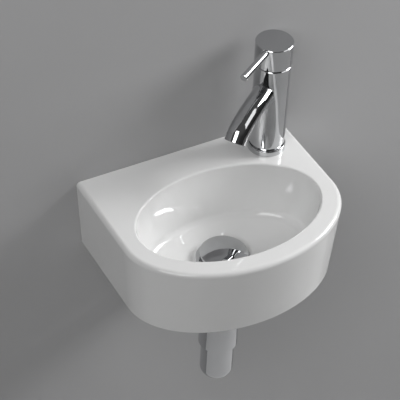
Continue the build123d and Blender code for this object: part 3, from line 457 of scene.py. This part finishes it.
drawn = add_step(coil, "GeometryNodeCurveToMesh", Curve=helix.outputs["Curve"],
                 Profile_Curve=section.outputs["Curve"], Fill_Caps=True)
end_growth(coil, drawn.outputs["Mesh"], given, end)
spring = one_piece("plug_return_spring", "fixed", "plug_spring", [
    (grown_mesh(coil, Material=wire), Matrix.Translation((0, WASTE_Y, SPRING_FOOT + WIRE_RADIUS + SEAT_GAP))),
])
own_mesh(spring)


# Bottle trap: chrome-plated brass shells, screwed together by hand on rubber rings.
# Its outlet pipe runs back to the drain in the wall under a loose cover plate.
for name in ("trap_coupling_nut", "trap_inlet_tube", "trap_top_nut", "trap_body", "trap_cup", "outlet_nut",
             "outlet_pipe", "wall_rosette"):
    put_on(name, chrome)
for name in ("inlet_gasket", "trap_top_seal", "cup_seal", "outlet_seal"):
    put_on(name, rubber)


# Tap: a cast brass body with its spout in one piece, polished and plated, on a loose base ring.
# A threaded housing in the mouth holds the honeycomb of grey plastic that softens the jet.
MOUTH = Vector((0.030275, -0.079, 0.132326))
OUTWARD = Vector((-0.525024, -0.334477, -0.782608))
INSERT_RADIUS = 0.00990
INSERT_FRONT = 0.009
INSERT_LENGTH = 0.008

for name in ("base_ring", "tap_body", "aerator_housing"):
    put_on(name, chrome)
for name in ("base_oring", "aerator_washer"):
    put_on(name, rubber)
grey_plastic = plain_material("grey_plastic", (0.22, 0.23, 0.25), (0.27, 0.28, 0.30), 160.0,
                              0.38, 0.50, 0.0, 0.2)

comb, given, end = new_growth("honeycomb", [
    ("Radius", "Float", INSERT_RADIUS), ("Rim", "Float", 0.0009), ("Length", "Float", INSERT_LENGTH),
    ("Cell", "Float", 0.0022), ("Wall", "Float", 0.00035), ("Cell Depth", "Float", 0.002),
    ("Rows", "Int", 13), ("Material", "Material", None),
])
cell = given["Cell"]
row_step = add_math(comb, "MULTIPLY", cell, math.sqrt(3) / 2)
spans = add_math(comb, "SUBTRACT", given["Rows"], 1.0)
grid = add_step(comb, "GeometryNodeMeshGrid", Vertices_X=given["Rows"], Vertices_Y=given["Rows"],
                Size_X=add_math(comb, "MULTIPLY", cell, spans),
                Size_Y=add_math(comb, "MULTIPLY", row_step, spans))
index = comb.nodes.new("GeometryNodeInputIndex")
odd = add_math(comb, "MODULO", add_math(comb, "MODULO", index.outputs["Index"], given["Rows"]), 2.0)
half_cell = add_math(comb, "MULTIPLY", cell, 0.5)
shift = add_step(comb, "ShaderNodeCombineXYZ", X=add_math(comb, "MULTIPLY", odd, half_cell))
staggered = add_step(comb, "GeometryNodeSetPosition", Geometry=grid.outputs["Mesh"],
                     Offset=shift.outputs["Vector"])
far = comb.nodes.new("ShaderNodeVectorMath")
far.operation = "LENGTH"
comb.links.new(comb.nodes.new("GeometryNodeInputPosition").outputs["Position"], far.inputs[0])
inner_radius = add_math(comb, "SUBTRACT", given["Radius"], given["Rim"])
room_left = add_math(comb, "SUBTRACT", inner_radius, add_math(comb, "MULTIPLY", cell, 0.45))
fits = add_math(comb, "LESS_THAN", far.outputs["Value"], room_left)
hexagon = add_step(comb, "GeometryNodeCurvePrimitiveCircle", Resolution=6,
                   Radius=add_math(comb, "DIVIDE", cell, math.sqrt(3)))
hexagon = add_step(comb, "GeometryNodeSetCurveNormal", Curve=hexagon.outputs["Curve"])
hexagon.mode = "Z_UP"
slat = add_step(comb, "GeometryNodeCurvePrimitiveQuadrilateral", Width=given["Wall"],
                Height=given["Cell Depth"])
ring = add_step(comb, "GeometryNodeCurveToMesh", Curve=hexagon.outputs["Curve"],
                Profile_Curve=slat.outputs["Curve"])
cells = add_step(comb, "GeometryNodeInstanceOnPoints", Points=staggered.outputs["Geometry"], Selection=fits,
                 Instance=ring.outputs["Mesh"], Rotation=(0.0, 0.0, math.radians(30)))
cells_down = add_step(comb, "ShaderNodeCombineXYZ", Z=add_math(comb, "MULTIPLY", given["Cell Depth"], -0.5))
cells = add_step(comb, "GeometryNodeTransform", Geometry=cells.outputs["Instances"],
                 Translation=cells_down.outputs["Vector"])
middle_of_rim = add_math(comb, "SUBTRACT", given["Radius"], add_math(comb, "MULTIPLY", given["Rim"], 0.5))
hoop = add_step(comb, "GeometryNodeCurvePrimitiveCircle", Resolution=64, Radius=middle_of_rim)
hoop = add_step(comb, "GeometryNodeSetCurveNormal", Curve=hoop.outputs["Curve"])
hoop.mode = "Z_UP"
band = add_step(comb, "GeometryNodeCurvePrimitiveQuadrilateral", Width=given["Rim"], Height=given["Length"])
shell = add_step(comb, "GeometryNodeCurveToMesh", Curve=hoop.outputs["Curve"],
                 Profile_Curve=band.outputs["Curve"])
shell_down = add_step(comb, "ShaderNodeCombineXYZ", Z=add_math(comb, "MULTIPLY", given["Length"], -0.5))
shell = add_step(comb, "GeometryNodeTransform", Geometry=shell.outputs["Mesh"],
                 Translation=shell_down.outputs["Vector"])
behind_cells = add_math(comb, "MULTIPLY", given["Cell Depth"], 1.5)
plate_depth = add_math(comb, "SUBTRACT", given["Length"], behind_cells)
plate = add_step(comb, "GeometryNodeMeshCylinder", Vertices=64, Depth=plate_depth, Radius=inner_radius)
plate_at = add_math(comb, "SUBTRACT", add_math(comb, "MULTIPLY", plate_depth, 0.5), given["Length"])
plate_down = add_step(comb, "ShaderNodeCombineXYZ", Z=plate_at)
plate = add_step(comb, "GeometryNodeTransform", Geometry=plate.outputs["Mesh"],
                 Translation=plate_down.outputs["Vector"])
joined = comb.nodes.new("GeometryNodeJoinGeometry")
for part in (cells, shell, plate):
    comb.links.new(part.outputs["Geometry"], joined.inputs["Geometry"])
flat_sided = add_step(comb, "GeometryNodeSetShadeSmooth", Geometry=joined.outputs["Geometry"],
                      Shade_Smooth=False)
end_growth(comb, flat_sided.outputs["Geometry"], given, end)
facing_out = OUTWARD.to_track_quat("Z", "X").to_matrix().to_4x4()
insert_front = Matrix.Translation(MOUTH + OUTWARD * INSERT_FRONT)
one_piece("aerator_honeycomb", "fixed", "aerator_insert", [
    (grown_mesh(comb, Material=grey_plastic), insert_front @ facing_out),
])


# Cartridge: two lapped ceramic discs in a plastic carrier; the upper one slides and turns over the
# ports in the lower one. A plated brass ring nut holds it down in the body.
lapped = plain_material("lapped_ceramic", (0.74, 0.74, 0.71), (0.80, 0.80, 0.77), 180.0,
                        0.10, 0.18, 0.0, 0.05)
for name in ("fixed_disc", "moving_disc"):
    put_on(name, lapped)
for name in ("cartridge_housing", "cartridge_rotor"):
    put_on(name, grey_plastic)
put_on("cartridge_stem", brass)
put_on("retaining_nut", chrome)
put_on("stem_pin", wire)


# Handle: a plated brass cap over the cartridge with a round rod screwed into it for a lever.
# A grub screw behind a grey index plug grips the square stem.
for name in ("lever_cap", "lever_rod"):
    put_on(name, chrome)
put_on("grub_screw", wire)
put_on("index_plug", grey_plastic)


# Tap fixing: a rubber gasket and a steel horseshoe under the deck, pulled up by a nut on a brass stud
# that screws into the foot of the tap.
put_on("deck_gasket", rubber)
put_on("clamp_plate", steel)
put_on("clamp_nut", brass)
stud_low, stud_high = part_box("tap_stud")
stud_low = Vector(stud_low)
stud_high = Vector(stud_high)
stud_length = stud_high.z - stud_low.z
stud_radius = (stud_high.x - stud_low.x) / 2
stud = threaded(stud_radius, MACHINE_DEPTH, MACHINE_PITCH, stud_length, MACHINE_LEAD, MACHINE_END, brass)
upside_down = Matrix.Rotation(math.pi, 4, "X")
one_piece("tap_stud_thread", "fixed", "tap_stud", [
    (stud, Matrix.Translation((stud_low + stud_high) / 2) @ upside_down),
])


# Room: a plain grey wall that the basin hangs on, a pale floor, and soft light from two sides.
# From behind and from below, the wall and the floor can be seen through, so that the fixings show.
WALL_Y = 0.0004
FLOOR_Z = -0.85
WALL_REACH = 2.0
FLOOR_REACH = 3.0


def stage_paint(name, low, high, scale, roughness, relief):
    """Matt paint with a slow drift of tone, clear to the camera from its back but still dark to the lamps."""
    material, tree, shader = new_material(name)
    marks = place_group(tree, drift, Scale=scale, Fineness=60.0)
    tree.links.new(add_mix(tree, marks.outputs["Broad"], low, high), shader.inputs["Base Color"])
    shader.inputs["Roughness"].default_value = roughness
    tree.links.new(add_bump(tree, marks.outputs["Fine"], relief, 0.001), shader.inputs["Normal"])
    clear = tree.nodes.new("ShaderNodeBsdfTransparent")
    see_through = tree.nodes.new("ShaderNodeMixShader")
    backfacing = tree.nodes.new("ShaderNodeNewGeometry").outputs["Backfacing"]
    seen = tree.nodes.new("ShaderNodeLightPath").outputs["Is Camera Ray"]
    tree.links.new(add_math(tree, "MULTIPLY", backfacing, seen), see_through.inputs["Fac"])
    tree.links.new(shader.outputs["BSDF"], see_through.inputs[1])
    tree.links.new(clear.outputs["BSDF"], see_through.inputs[2])
    tree.links.new(see_through.outputs["Shader"], tree.nodes["Material Output"].inputs["Surface"])
    return material


def stage_sheet(name, outline, holes, normal, material):
    """A flat sheet with an outline and holes, each given as a ring of points."""
    flat = bmesh.new()
    for ring in (outline, *holes):
        corners = [flat.verts.new(point) for point in ring]
        for first, second in zip(corners, corners[1:] + corners[:1]):
            flat.edges.new((first, second))
    bmesh.ops.triangle_fill(flat, use_beauty=True, use_dissolve=False, edges=flat.edges[:], normal=normal)
    mesh = bpy.data.meshes.new(name)
    flat.to_mesh(mesh)
    flat.free()
    mesh.materials.append(material)
    obj = bpy.data.objects.new(name, mesh)
    bpy.context.collection.objects.link(obj)


wall_paint = stage_paint("wall_paint", (0.44, 0.44, 0.445), (0.50, 0.50, 0.505), 2.2, 0.75, 0.08)
half_back = ((0.1300, -0.0392), (0.1318, -0.0372), (0.1385, 0.0545), (0.1345, 0.0592))
behind_basin = [(x, WALL_Y, z) for x, z in half_back]
behind_basin += [(-x, WALL_Y, z) for x, z in reversed(half_back)]
steps = [2 * math.pi * i / 32 for i in range(32)]
behind_rosette = [(0.0312 * math.cos(t), WALL_Y, -0.122 + 0.0312 * math.sin(t)) for t in steps]
wall_ring = [(x, WALL_Y, z) for x, z in (
    (-WALL_REACH, FLOOR_Z), (WALL_REACH, FLOOR_Z), (WALL_REACH, WALL_REACH), (-WALL_REACH, WALL_REACH))]
stage_sheet("wall", wall_ring, (behind_basin, behind_rosette), (0, -1, 0), wall_paint)
floor_paint = stage_paint("floor_paint", (0.67, 0.67, 0.67), (0.71, 0.71, 0.71), 1.5, 0.6, 0.05)
floor_ring = [(x * FLOOR_REACH, y * FLOOR_REACH, FLOOR_Z) for x, y in ((-1, -1), (1, -1), (1, 1), (-1, 1))]
stage_sheet("floor", floor_ring, (), (0, 0, 1), floor_paint)


def lamp(name, place, width, height, power, spread=180.0):
    """A soft lamp turned towards the basin, with a spread that keeps it off the wall beside it."""
    data = bpy.data.lights.new(name, "AREA")
    data.shape = "RECTANGLE"
    data.size = width
    data.size_y = height
    data.energy = power
    data.spread = math.radians(spread)
    obj = bpy.data.objects.new(name, data)
    obj.location = place
    obj.rotation_euler = (Vector((0, -0.1, 0)) - Vector(place)).to_track_quat("-Z", "Y").to_euler()
    bpy.context.collection.objects.link(obj)


lamp("window_right", (1.62, -0.41, 0.95), 0.78, 0.8, 17.6, 140.0)
lamp("window_left", (-1.37, -1.33, 1.84), 1.4, 1.2, 24.0)
lamp("window_front", (1.41, -1.28, 1.54), 0.8, 1.2, 4.0)
lamp("behind", (0.6, 1.6, 1.0), 1.2, 1.2, 12.0)

world = bpy.data.worlds.new("room")
bpy.context.scene.world = world
world.use_nodes = True
tree = world.node_tree
sky = tree.nodes["Background"]
direction = tree.nodes.new("ShaderNodeSeparateXYZ")
tree.links.new(tree.nodes.new("ShaderNodeTexCoord").outputs["Generated"], direction.inputs["Vector"])
overhead = add_range(tree, direction.outputs["Z"], 0.15, 0.6)
around = add_mix(tree, overhead, (0.03, 0.03, 0.03), (0.09, 0.09, 0.09))
seen = tree.nodes.new("ShaderNodeLightPath").outputs["Is Camera Ray"]
tree.links.new(add_mix(tree, seen, around, (0.30, 0.30, 0.30)), sky.inputs["Color"])
sky.inputs["Strength"].default_value = 1.0


# Camera: long lens from the upper left, turned a little, as the photograph was taken.
FOCAL_PIXELS = 1760.56
FRAME_PIXELS = 400.0
SENSOR = 36.0
swing = math.radians(30.244)
pitch = math.radians(41.556)
roll = math.radians(3.094)
forward = Vector((math.sin(swing) * math.cos(pitch), math.cos(swing) * math.cos(pitch), -math.sin(pitch)))
level = Vector((math.cos(swing), -math.sin(swing), 0))
upward = level.cross(forward)
right = math.cos(roll) * level + math.sin(roll) * upward
up = -math.sin(roll) * level + math.cos(roll) * upward
data = bpy.data.cameras.new("camera")
data.sensor_width = SENSOR
data.lens = SENSOR * FOCAL_PIXELS / FRAME_PIXELS
data.clip_start = 0.05
data.clip_end = 50.0
camera = bpy.data.objects.new("camera", data)
turn = Matrix((right, up, -forward)).transposed()
camera.matrix_world = Matrix.Translation((-0.79984, -1.42407, 1.42883)) @ turn.to_4x4()
bpy.context.collection.objects.link(camera)
bpy.context.scene.camera = camera
bpy.context.scene.view_settings.view_transform = "Standard"
